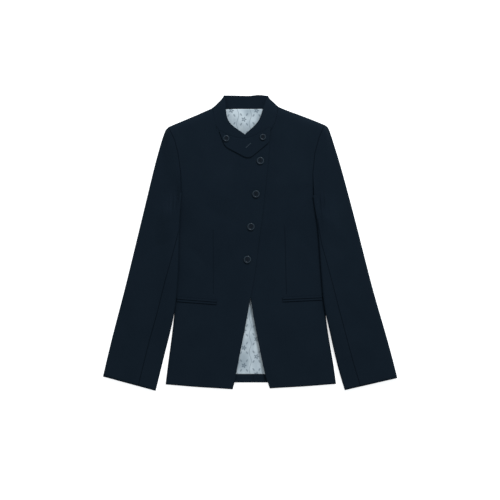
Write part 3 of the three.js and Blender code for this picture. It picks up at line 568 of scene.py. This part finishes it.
def draw_in(piece, x, y, reach, across, up):
    """Draws a piece's corner that many mm toward what it is sewn to, fading out over its reach."""
    points = points_of(piece)
    off = np.hypot(points[:, 0] / MM - x, points[:, 1] / MM - y)
    near = 1 - soft_step(off, reach * CORNER_WHOLE, reach)
    points[:, 0] += across * near * MM
    points[:, 1] += up * near * MM
    set_points(piece, points)


def draw_to_armhole(piece, line, across):
    """Draws a sleeve's edge that many mm toward the front all along its armhole."""
    points = points_of(piece)
    spots = points[:, :2] / MM
    least = np.full(len(spots), np.inf)
    for start, end in zip(np.array(line), np.array(line)[1:]):
        run = end - start
        share = np.clip((spots - start) @ run / (run @ run), 0, 1)
        least = np.minimum(least, np.hypot(*(spots - start - share[:, None] * run).T))
    points[:, 0] += across * (1 - soft_step(least, ARMHOLE_WHOLE, ARMHOLE_REACH)) * MM
    set_points(piece, points)


draw_in(right_sleeve_top, -195.5, 274.0, HEAD_REACH, HEAD_FILL, HEAD_RISE)
draw_in(left_sleeve_top, 176.5, 278.7, HEAD_REACH, -HEAD_FILL, HEAD_RISE)
draw_to_armhole(right_sleeve_top, RIGHT_ARMHOLE, ARMHOLE_FILL)
draw_to_armhole(left_sleeve_top, LEFT_ARMHOLE, -ARMHOLE_FILL)


# Collar: a stand collar in the same wool, firmer than the body. Its back lies flat behind the neck, and
# its two ends stand up out of the neckline and meet under the throat tab.
COLLAR_SLANT = 40.0
right_collar = wool_piece(
    "right_collar_cloth",
    "collar_right",
    plain_wool,
    COLLAR_SLANT,
)
left_collar = wool_piece(
    "left_collar_cloth",
    "collar_left",
    plain_wool,
    -COLLAR_SLANT,
)
wool_piece(
    "back_collar_cloth", "collar_back", plain_wool
)
# The corners at the throat and at the shoulder, in mm: the piece, the corner's place, its reach, and how
# far it is drawn across and up
COLLAR_CORNERS = (
    (right_collar, -13.0, 250.0, 15.0, 0.17, 0.0),
    (left_collar, -13.0, 250.0, 15.0, -0.17, 0.0),
    (right_collar, -91.5, 319.2, 8.0, -0.2, -0.2),
    (left_collar, 66.3, 323.2, 8.0, 0.2, -0.2),
)
for corner in COLLAR_CORNERS:
    draw_in(*corner)


# Throat tab: a pointed double tab of the wool that closes the collar, stitched round close to its edge
# in navy thread, with one slanting buttonhole that is worked in pale thread and left empty.
NAVY_THREAD = (0.0030, 0.0062, 0.0120, 1.0)
PALE_THREAD = (0.040, 0.056, 0.074, 1.0)
TAB_STITCH = 2.5
TAB_STITCH_GAP = 0.8
TAB_STITCH_THICK = 0.34
TAB_STITCH_LINE = (
    (-71.0, 261.6), (-59.2, 232.6), (-54.0, 228.2), (-33.0, 217.4), (-13.0, 206.8), (-6.0, 204.6),
    (0.6, 206.6), (20.4, 222.8), (42.0, 240.4), (45.0, 269.6), (23.4, 257.4), (2.8, 247.4),
    (-13.6, 243.7), (-31.4, 245.0), (-48.6, 249.8), (-65.2, 256.6), (-71.0, 261.6),
)
TAB_BUTTONHOLE = {"x": -4.4, "y": 231.6, "long": 13.0, "turn": 43.7, "lip": 0.8}
THREAD_DARKER = 0.72
THREAD_TWIST = 9.0
THREAD_SLANT = 0.7
THREAD_RELIEF = 0.05
THREAD_GLOSS = 0.12
# A stitch: its straight part as a share of its length, how far its ends dip as a share of its thickness,
# and how deep it sinks in, in mm
STITCH_STRAIGHT = 0.72
STITCH_DIP = 0.35
STITCH_SUNK = 0.12
# A worked buttonhole: how far apart its stitches lie in mm, where each lip's middle is and how long its
# stitches are as shares of the lip's width, and how thick and how deep they lie
LIP_STEP, BAR_STEP, BAR_OFF = 0.5, 0.4, 0.5
LIP_MIDDLE, LIP_STITCH = 0.62, 1.25
LIP_THICK, LIP_SUNK = 0.5, 0.05


def thread(name, colour):
    """Twisted sewing thread with a slight gloss."""
    spun = Finish(name)
    _, (x, y, _) = spun.place()
    twist = ((x + y * THREAD_SLANT) * THREAD_TWIST).sum("SINE") * 0.5 + 0.5
    dark = tuple(THREAD_DARKER * c for c in colour[:3]) + (1.0,)
    return spun.close(
        spun.blend(twist, dark, colour),
        0.5 + twist * 0.1,
        spun.raised(twist, THREAD_RELIEF),
        **{"Specular IOR Level": THREAD_GLOSS},
    )


def top_of(piece, x, y):
    """Where a piece's upper surface is above a place given in mm, in metres, and its normal there."""
    hit, where, normal, _ = piece.ray_cast(Vector((x * MM, y * MM, 0.2)), Vector((0, 0, -1)))
    if not hit:
        raise ValueError(f"nothing of {piece.name} lies at {x}, {y}")
    return where, normal


def evenly(line, step):
    """Places along a line of points, step apart, with the direction at each."""
    line = np.array(line, float)
    runs = np.diff(line, axis=0)
    along = np.concatenate([[0], np.cumsum(np.hypot(*runs.T))])
    count = max(1, int(along[-1] / step))
    for share in (np.arange(count) + 0.5) / count * along[-1]:
        i = min(np.searchsorted(along, share, side="right") - 1, len(runs) - 1)
        x, y = line[i] + runs[i] * (share - along[i]) / (along[i + 1] - along[i])
        yield x, y, math.atan2(runs[i][1], runs[i][0])


def one_stitch(long, thick):
    """A short stitch with rounded, sunk ends, lying along x with its middle at the origin."""
    bpy.ops.object.select_all(action="DESELECT")
    bpy.ops.mesh.primitive_cylinder_add(
        vertices=6,
        radius=thick / 2 * MM,
        depth=long * STITCH_STRAIGHT * MM,
        end_fill_type="TRIFAN",
        rotation=(0, math.pi / 2, 0),
    )
    stitch = bpy.context.active_object
    bpy.ops.object.transform_apply(location=True, rotation=True, scale=True)
    points = points_of(stitch)
    tips = np.hypot(points[:, 1], points[:, 2]) < thick * 0.1 * MM
    points[tips, 0] = np.sign(points[tips, 0]) * long / 2 * MM
    points[:, 2] -= (points[:, 0] / (long / 2 * MM)) ** 2 * thick * STITCH_DIP * MM
    set_points(stitch, points)
    return stitch


def sew(name, stitch, places, carrier, finish, sunk=STITCH_SUNK):
    """Joins copies of the stitch, one at each place on what carries it, into one piece."""
    copies = []
    for x, y, turn in places:
        where, normal = top_of(carrier, x, y)
        copy = bpy.data.objects.new(name, stitch.data.copy())
        bpy.context.scene.collection.objects.link(copy)
        lean = normal.to_track_quat("Z", "Y").to_matrix().to_4x4()
        flat = lean.inverted() @ Vector((math.cos(turn), math.sin(turn), 0))
        spin = Matrix.Rotation(math.atan2(flat.y, flat.x), 4, "Z")
        copy.data.transform(Matrix.Translation(where - normal * sunk * MM) @ lean @ spin)
        copies.append(copy)
    alone(copies[0])
    for copy in copies:
        copy.select_set(True)
    bpy.ops.object.join()
    row = bpy.context.active_object
    row.name = row.data.name = name
    row.data.materials.clear()
    row.data.materials.append(finish)
    bpy.ops.object.shade_smooth()
    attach(row, "root")
    bpy.data.objects.remove(stitch)


navy_thread = thread("navy thread", NAVY_THREAD)
pale_thread = thread("pale thread", PALE_THREAD)
throat_tab = wool_piece(
    "throat_tab_cloth", "throat_tab", plain_wool
)
sew(
    "throat_tab_stitching",
    one_stitch(TAB_STITCH, TAB_STITCH_THICK),
    evenly(TAB_STITCH_LINE, TAB_STITCH + TAB_STITCH_GAP),
    throat_tab,
    navy_thread,
)


def worked_buttonhole(name, x, y, long, turn, lip, carrier, finish):
    """Two lips of close stitches across a slit, with a bar at each end."""
    turn = math.radians(turn)
    run, side = (math.cos(turn), math.sin(turn)), (-math.sin(turn), math.cos(turn))
    places = []

    def stitch_at(at, off, turned):
        places.append((x + run[0] * at + side[0] * off, y + run[1] * at + side[1] * off, turned))

    for edge in (-1, 1):
        for at in np.arange(-long / 2, long / 2 + 0.01, LIP_STEP):
            stitch_at(at, edge * lip * LIP_MIDDLE, turn + math.pi / 2)
    for end in (-1, 1):
        for off in np.arange(-lip, lip + 0.01, BAR_STEP):
            stitch_at(end * (long / 2 + BAR_OFF), off, turn)
    sew(name, one_stitch(lip * LIP_STITCH, LIP_THICK), places, carrier, finish, LIP_SUNK)


worked_buttonhole("throat_tab_buttonhole", **TAB_BUTTONHOLE, carrier=throat_tab, finish=pale_thread)


# Lining and hem: a loose back lining of pale silver-blue satin with a small tone-on-tone jacquard. It is
# felled along the neck, and along the hem to a turned-up band of the wool.
SATIN_GROUND = (0.376, 0.440, 0.488, 1.0)
SATIN_LIGHT = (0.57, 0.64, 0.68, 1.0)
SATIN_FIGURE = (0.080, 0.115, 0.150, 1.0)
SATIN_SHADE = (0.230, 0.290, 0.330, 1.0)
# The jacquard, in mm: its repeat, a petal's reach, a blossom's heart, the leaves' place and the stem
REPEAT_ACROSS = 30.0
REPEAT_ALONG = 42.0
PETAL = 6.4
PETALS = 5.0
PETAL_WAIST = 0.26
HEART_FROM, HEART_TO = 0.8, 1.5
LEAF_LEAN = 0.62
LEAF_SCALE = 0.85
LEAF_PLACE = 13.6
LEAF_ACROSS, LEAF_ALONG = 3.4, 14.0
LEAF_PALER = 0.8
STEM_SWAY = 2.6
STEM_FROM, STEM_TO = 0.35, 1.0
STEM_PALER = 0.75
FIGURE_STRENGTH = 0.72
SHADE_STRENGTH = 0.6
# How many turns the satin's painted sheen, painted light on crumples and broad shade make in a mm, and how
# the first two stretch
SHEEN_TURNS, CRUMPLE_TURNS, SHADE_TURNS = 0.5, 0.045, 0.02
SHEEN_ALONG, CRUMPLE_ALONG = 0.06, 0.7
SHEEN_SHARE, CRUMPLE_SHARE = 0.35, 0.65
SATIN_ROUGHNESS = 0.34
SATIN_RELIEF = 0.12
SATIN_GLOSS = 0.45
LINING_LEVELS = 4
HIGHEST_FOLD = 1.6
# Heights in mm between which the lining's folds set in
FOLD_FROM, FOLD_TO = 2.2, 3.0


def jacquard(name):
    """Satin with half-dropped five-petalled blossoms, leaves between them and waving stems."""
    satin = Finish(name)
    place, _ = satin.place()
    grain, across, along = satin.along_grain()
    column = across / REPEAT_ACROSS
    drop = column.sum("FLOOR").sum("FLOORED_MODULO", 2.0) * 0.5
    p = (column.sum("FRACT") - 0.5) * REPEAT_ACROSS
    q = ((along / REPEAT_ALONG + drop).sum("FRACT") - 0.5) * REPEAT_ALONG
    reach = (p * p + q * q) ** 0.5
    angle = q.sum("ARCTAN2", p)
    petal = ((angle * PETALS).sum("COSINE") * PETAL_WAIST + (1.0 - PETAL_WAIST)) * PETAL
    flower = 1.0 - (reach - petal).within(-0.5, 0.5)
    heart = 1.0 - reach.within(HEART_FROM, HEART_TO)
    leaves = None
    for lean in (1.0, -1.0):
        u = (p * lean + q * LEAF_LEAN) * LEAF_SCALE
        v = (q * lean - p * LEAF_LEAN) * LEAF_SCALE
        far = v.sum("ABSOLUTE") - LEAF_PLACE
        leaf = 1.0 - ((u * u) / LEAF_ACROSS + (far * far) / LEAF_ALONG).within(0.7, 1.3)
        leaves = leaf if leaves is None else leaves.sum("MAXIMUM", leaf)
    sway = (along * (2 * math.pi / REPEAT_ALONG)).sum("SINE") * STEM_SWAY
    aside = (p - REPEAT_ACROSS / 2 - sway).sum("ABSOLUTE")
    aside = aside.sum("MINIMUM", (p + REPEAT_ACROSS / 2 - sway).sum("ABSOLUTE"))
    stem = 1.0 - aside.within(STEM_FROM, STEM_TO)
    figure = flower.sum("MAXIMUM", leaves * LEAF_PALER) * (1.0 - heart)
    figure = figure.sum("MAXIMUM", stem * STEM_PALER)
    sheen = satin.cloud(grain, SHEEN_TURNS, 3.0, (1.0, SHEEN_ALONG, 1.0))
    painted_crumple_light = satin.cloud(place, CRUMPLE_TURNS, 2.0, (1.0, CRUMPLE_ALONG, 1.0)).within(0.35, 0.72)
    shade = satin.cloud(place, SHADE_TURNS, 1.0)
    # Painted sheen along the grain and painted light on small crumples lighten the ground; broad shade
    # then darkens it in soft patches
    light = sheen * SHEEN_SHARE + painted_crumple_light * CRUMPLE_SHARE
    ground = satin.blend(light, SATIN_GROUND, SATIN_LIGHT)
    ground = satin.blend(shade.within(0.48, 0.68) * SHADE_STRENGTH, ground, SATIN_SHADE)
    return satin.close(
        satin.blend(figure * FIGURE_STRENGTH, ground, SATIN_FIGURE),
        SATIN_ROUGHNESS + figure * 0.22 + sheen * 0.06,
        satin.raised(figure * 0.6 + sheen * 0.25, SATIN_RELIEF),
        **{"Specular IOR Level": SATIN_GLOSS, "Sheen Weight": 0.05, "Sheen Roughness": 0.3},
    )


# Soft folds of the loose lining: ends in mm, half width, rise and bow
LINING_FOLDS = (
    ("left of the centre", -14, -150, -26, -306, 6, 0.9, 4),
    ("centre ease pleat", 6, -60, 10, -312, 5, 1.1, -3),
    ("right of the centre", 24, -200, 34, -304, 7, 0.8, 4),
    ("slanting, low", -22, -236, 28, -262, 6, 0.7, 4),
    ("slanting, high", -12, -196, 18, -176, 5, 0.6, -3),
    ("along the hem", -40, -302, 40, -304, 4, 0.7, 2),
    ("under the neck, left", -52, 306, -30, 262, 6, 0.7, 4),
    ("under the neck, middle", -20, 310, -14, 258, 5, 0.9, -3),
    ("under the neck, right", 20, 308, 12, 268, 6, 0.7, 4),
    ("under the collar", -46, 306, 36, 305, 4, 0.6, -2),
)
satin = jacquard("silver-blue jacquard satin")
lining = cut_cloth("back_lining_cloth", "lining", satin, LINING_LEVELS)
points = points_of(lining)
lift = crease_height(LINING_FOLDS, *(points[:, :2] / MM).T)
top_side = soft_step(points[:, 2] / MM, FOLD_FROM, FOLD_TO)
points[:, 2] += np.clip(lift, 0, HIGHEST_FOLD) * top_side * MM
set_points(lining, points)
for side, long, area in (("right", 0.194, 0.0041), ("left", 0.185, 0.0039)):
    wool_piece(
        f"{side}_hem_cloth",
        f"hem_band_{side}",
        plain_wool,
    )


# Pockets: a double-welt pocket on each side of the waist. Two narrow folded strips of the wool meet at
# its mouth, and a short bar of navy stitches holds them at the inner end.
# The welts' mouths get a groove and painted shade, as falls into the slit between the welts
MOUTH_STRENGTH = 0.85
# The bar: its stitches' length, thickness and distance apart, its half height, and how far it lies inside
# the mouth's end, in mm
BAR_STITCH, BAR_THICK, BAR_GAP = 1.5, 0.4, 0.5
BAR_HALF = 5.6
BAR_INSIDE = 0.8
# The inner and outer end of each pocket's mouth in mm, and the front it is cut into
POCKET_ENDS = {
    "right": ((-80.4, -143.2), (-175.2, -136.0), front_right),
    "left": ((77.4, -136.8), (172.2, -132.4), front_left),
}
mouths = [(*inner, *outer, MOUTH_STRENGTH) for inner, outer, _ in POCKET_ENDS.values()]
welt_wool = wool("navy wool of the welts with painted shade at the mouths", mouths)
for side, (inner, outer, panel) in POCKET_ENDS.items():
    for edge in ("upper", "lower"):
        wool_piece(
            f"{side}_pocket_welt_{edge}_cloth",
            f"pocket_{side}_welt_{edge}",
            welt_wool,
        )
    slope = math.atan2(outer[1] - inner[1], outer[0] - inner[0])
    bar_x = inner[0] - BAR_INSIDE * math.cos(slope)
    bar_y = inner[1] - BAR_INSIDE * math.sin(slope)
    tacks = [(bar_x, bar_y + off, slope) for off in np.arange(-BAR_HALF, BAR_HALF + 0.1, BAR_GAP)]
    bar = one_stitch(BAR_STITCH, BAR_THICK)
    sew(f"{side}_pocket_bar", bar, tacks, panel, navy_thread)


# Buttons: six of dark navy resin that looks like horn, with a rounded rim, a dished middle and four
# holes, sewn on with navy thread. Four go down the front over their worked buttonholes, and a smaller one
# holds each end of the tab.
GLOSS_NAVY = (0.0045, 0.0085, 0.0140, 1.0)
GLOSS_VEIN = (0.0080, 0.0140, 0.0220, 1.0)
# The colour of the painted highlight round each button's rim
GLOSS_RIM_HIGHLIGHT = (0.0220, 0.0330, 0.0450, 1.0)
# Rings of a button from its back to the middle of its dish: radius and height, as shares of its size
BUTTON_RINGS = (
    (0.90, 0.00), (0.985, 0.12), (1.00, 0.38), (0.985, 0.66), (0.93, 0.88), (0.86, 0.98), (0.78, 1.00),
    (0.70, 0.93), (0.64, 0.78), (0.60, 0.62), (0.52, 0.56), (0.30, 0.52),
)
# How strong the painted highlight round the rim is, by radius as a share of the button's
RIM_HIGHLIGHT = ((0.60, 0.0), (0.70, 0.35), (0.78, 0.9), (0.86, 1.0), (0.93, 0.9), (0.985, 0.35), (1.0, 0.0))
# The holes' radius and distance from the middle, and where the dish's floor is, as shares of the size
HOLE_RADIUS = 0.085
HOLE_STEP = 0.165
DISH_FLOOR = 0.56
# The thread through the holes: how many hole steps a strand is long, and in mm its thickness, its
# distance from the next, its height over the dish and how much lower the outer ones lie
STRAND_LONG = 2.6
STRAND_THICK = 0.42
STRAND_GAP = 0.352
STRAND_LIFT = 0.22
STRAND_DROP = 0.088
# How many turns the resin's veins and scratches make in a mm, and how the veins stretch
VEIN_TURNS, SCRATCH_TURNS = 0.16, 1.8
VEIN_ALONG = 2.6
RESIN_ROUGHNESS = 0.20
RESIN_GLOSS = 0.12
RESIN_COAT = 0.04
SHARP_RIM = 35


def glossy(name):
    """Polished resin with faint veins, like horn, and a painted highlight round its rim."""
    resin = Finish(name)
    place, _ = resin.place()
    painted_rim_highlight = resin.value(resin.node("Attribute", {"attribute_name": "Painted rim highlight"}).outputs["Fac"])
    vein = resin.cloud(place, VEIN_TURNS, 4.0, (1.0, VEIN_ALONG, 1.0)).within(0.45, 0.75)
    scratch = resin.cloud(place, SCRATCH_TURNS)
    colour = resin.blend(vein * 0.6, GLOSS_NAVY, GLOSS_VEIN)
    return resin.close(
        resin.blend(painted_rim_highlight, colour, GLOSS_RIM_HIGHLIGHT),
        RESIN_ROUGHNESS + scratch * 0.10,
        resin.raised(scratch, 0.01),
        **{"Specular IOR Level": RESIN_GLOSS, "Coat Weight": RESIN_COAT, "Coat Roughness": 0.10},
    )


def turn_button(name, radius, thick):
    """A four-hole button lying at the origin, its back at zero height."""
    bpy.ops.object.select_all(action="DESELECT")
    first = BUTTON_RINGS[0][0] * radius
    bpy.ops.mesh.primitive_circle_add(vertices=48, radius=first, fill_type="NGON")
    button = bpy.context.active_object
    button.name = button.data.name = name
    bpy.ops.object.mode_set(mode="EDIT")
    bpy.ops.mesh.select_all(action="SELECT")
    for before, after in zip(BUTTON_RINGS, BUTTON_RINGS[1:]):
        bpy.ops.mesh.extrude_region_move(
            TRANSFORM_OT_translate={"value": (0, 0, (after[1] - before[1]) * thick)}
        )
        grow = after[0] / before[0]
        bpy.ops.transform.resize(value=(grow, grow, 1), center_override=(0, 0, 0))
    bpy.ops.mesh.select_all(action="DESELECT")
    bpy.ops.mesh.select_mode(type="EDGE")
    bpy.ops.mesh.select_non_manifold()
    bpy.ops.mesh.edge_face_add()
    bpy.ops.mesh.select_all(action="SELECT")
    bpy.ops.mesh.normals_make_consistent(inside=False)
    bpy.ops.object.mode_set(mode="OBJECT")
    for across in (-1, 1):
        for along in (-1, 1):
            bpy.ops.object.select_all(action="DESELECT")
            bpy.ops.mesh.primitive_cylinder_add(
                vertices=14,
                radius=HOLE_RADIUS * radius,
                depth=thick * 4,
                location=(across * HOLE_STEP * radius, along * HOLE_STEP * radius, 0),
            )
            drill = bpy.context.active_object
            alone(button)
            hole = button.modifiers.new("Hole", "BOOLEAN")
            hole.operation, hole.solver, hole.object = "DIFFERENCE", "EXACT", drill
            bpy.ops.object.modifier_apply(modifier=hole.name)
            bpy.data.objects.remove(drill)
    # The painted highlight round the rim, by radius
    from_middle = np.hypot(*points_of(button)[:, :2].T) / radius
    painted_rim_highlight = np.interp(from_middle, *zip(*RIM_HIGHLIGHT))
    button.data.attributes.new("Painted rim highlight", "FLOAT", "POINT").data.foreach_set("value", painted_rim_highlight)
    return button


def button_place(node):
    """The middle of a button's solid, in metres, and the way it faces."""
    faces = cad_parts[node].data.polygons
    facing = sum((f.normal * f.area for f in faces if f.normal.z > 0.8), Vector()).normalized()
    low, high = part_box(node)
    return (low + high) / 2, facing


def sew_button(name, node, radius, thick, turn, finish, spun):
    """A button on its solid's place, and the thread that crosses its four holes."""
    middle, facing = button_place(node)
    lean = facing.to_track_quat("Z", "Y").to_matrix().to_4x4()
    spin = Matrix.Rotation(math.radians(turn), 4, "Z")
    back = Matrix.Translation(middle - facing * thick / 2) @ lean @ spin
    button = turn_button(name, radius, thick)
    button.data.transform(back)
    button.data.materials.clear()
    button.data.materials.append(finish)
    alone(button)
    bpy.ops.object.shade_smooth_by_angle(angle=math.radians(SHARP_RIM))
    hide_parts(node)
    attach(button, "root")
    strands = []
    step = HOLE_STEP * radius
    for along in (-1, 1):
        for beside in (-1, 0, 1):
            strand = one_stitch(STRAND_LONG * step / MM, STRAND_THICK)
            off = along * step + beside * STRAND_GAP * MM
            height = DISH_FLOOR * thick + (STRAND_LIFT - abs(beside) * STRAND_DROP) * MM
            strand.data.transform(back @ Matrix.Translation((0, off, height)))
            strands.append(strand)
    alone(strands[0])
    for strand in strands:
        strand.select_set(True)
    bpy.ops.object.join()
    strands = bpy.context.active_object
    strands.name = strands.data.name = name + "_thread"
    strands.data.materials.append(spun)
    bpy.ops.object.shade_smooth()
    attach(strands, "root")


horn = glossy("navy horn-look resin")
BUTTON_THICK = 3.0 * MM
FRONT_RADIUS, TAB_RADIUS = 9.0 * MM, 7.5 * MM
# How far each button is turned on its thread, in degrees
FRONT_TURNS = (12.0, 38.0, -20.0, 25.0)
TAB_TURNS = {"right": 30.0, "left": -15.0}
FRONT_BUTTONHOLE = {"long": 17.0, "turn": 4.0, "lip": 1.0}
BUTTONHOLE_OFF = 2.5
for count, turn in enumerate(FRONT_TURNS, 1):
    node = f"button_front_{count}"
    sew_button(f"front_button_{count}", node, FRONT_RADIUS, BUTTON_THICK, turn, horn, navy_thread)
    middle, _ = button_place(node)
    worked_buttonhole(
        f"front_buttonhole_{count}",
        middle.x / MM - BUTTONHOLE_OFF,
        middle.y / MM,
        **FRONT_BUTTONHOLE,
        carrier=front_right,
        finish=navy_thread,
    )
for side, turn in TAB_TURNS.items():
    node = f"button_tab_{side}"
    sew_button(f"tab_button_{side}", node, TAB_RADIUS, BUTTON_THICK, turn, horn, navy_thread)


# Table, light and camera: the blazer lies on a plain pale surface that glows a little, so that it shows
# hardly any shadow, under broad soft light, and is seen from straight above.
FLOOR_SIZE = 16.0
FLOOR_DROP = 0.0004
FLOOR_GREY, FLOOR_WHITE = (0.93, 0.93, 0.93, 1.0), (0.95, 0.95, 0.95, 1.0)
FLOOR_GLOW = 0.62
DAYLIGHT = (0.92, 0.97, 1.0)
DAYLIGHT_STRENGTH = 0.46
LAMP_SIZE = 1.2
KEY_PLACE, KEY_POWER = (1.0, 3.4, 2.8), 172.0
FILL_PLACE, FILL_POWER = (-1.6, -3.2, 3.2), 32.0
# How wide the camera sees on the table, and the middle of what it sees, in metres
VIEW_WIDTH = 1.195
VIEW_CENTRE = (-0.0006, -0.0181)
CAMERA_HEIGHT = 12.0
CAMERA_SENSOR = 36.0

bpy.ops.object.select_all(action="DESELECT")
bpy.ops.mesh.primitive_plane_add(size=FLOOR_SIZE, location=(0, 0, -FLOOR_DROP))
floor = bpy.context.active_object
floor.name = "pale_surface"
bpy.ops.object.transform_apply(location=True, rotation=True, scale=True)
pale = Finish("pale surface")
place, _ = pale.place()
grain = pale.cloud(place, 0.02)
floor.data.materials.append(
    pale.close(
        pale.blend(grain, FLOOR_GREY, FLOOR_WHITE),
        0.9 + grain * 0.05,
        pale.raised(grain, 0.02),
        **{
            "Specular IOR Level": 0.1,
            "Emission Color": (1.0, 1.0, 1.0, 1.0),
            "Emission Strength": FLOOR_GLOW,
        },
    )
)

scene = bpy.context.scene
scene.view_settings.view_transform = "Standard"
world = bpy.data.worlds.new("soft daylight")
world.use_nodes = True
sky = world.node_tree.nodes["Background"]
sky.inputs["Color"].default_value = (*DAYLIGHT, 1.0)
sky.inputs["Strength"].default_value = DAYLIGHT_STRENGTH
scene.world = world


def soft_light(name, place, power):
    """A round lamp of daylight colour that faces the middle of the table."""
    bpy.ops.object.light_add(type="AREA", location=place)
    lamp = bpy.context.active_object
    lamp.name = name
    lamp.data.shape = "DISK"
    lamp.data.size = LAMP_SIZE
    lamp.data.energy = power
    lamp.data.color = DAYLIGHT
    lamp.rotation_euler = (-Vector(place)).to_track_quat("-Z", "Y").to_euler()


soft_light("key_light", KEY_PLACE, KEY_POWER)
soft_light("fill_light", FILL_PLACE, FILL_POWER)

bpy.ops.object.camera_add(location=(*VIEW_CENTRE, CAMERA_HEIGHT), rotation=(0, 0, 0))
camera = bpy.context.active_object
camera.data.sensor_width = CAMERA_SENSOR
camera.data.lens = CAMERA_SENSOR * CAMERA_HEIGHT / VIEW_WIDTH
camera.data.clip_end = 100.0
scene.camera = camera
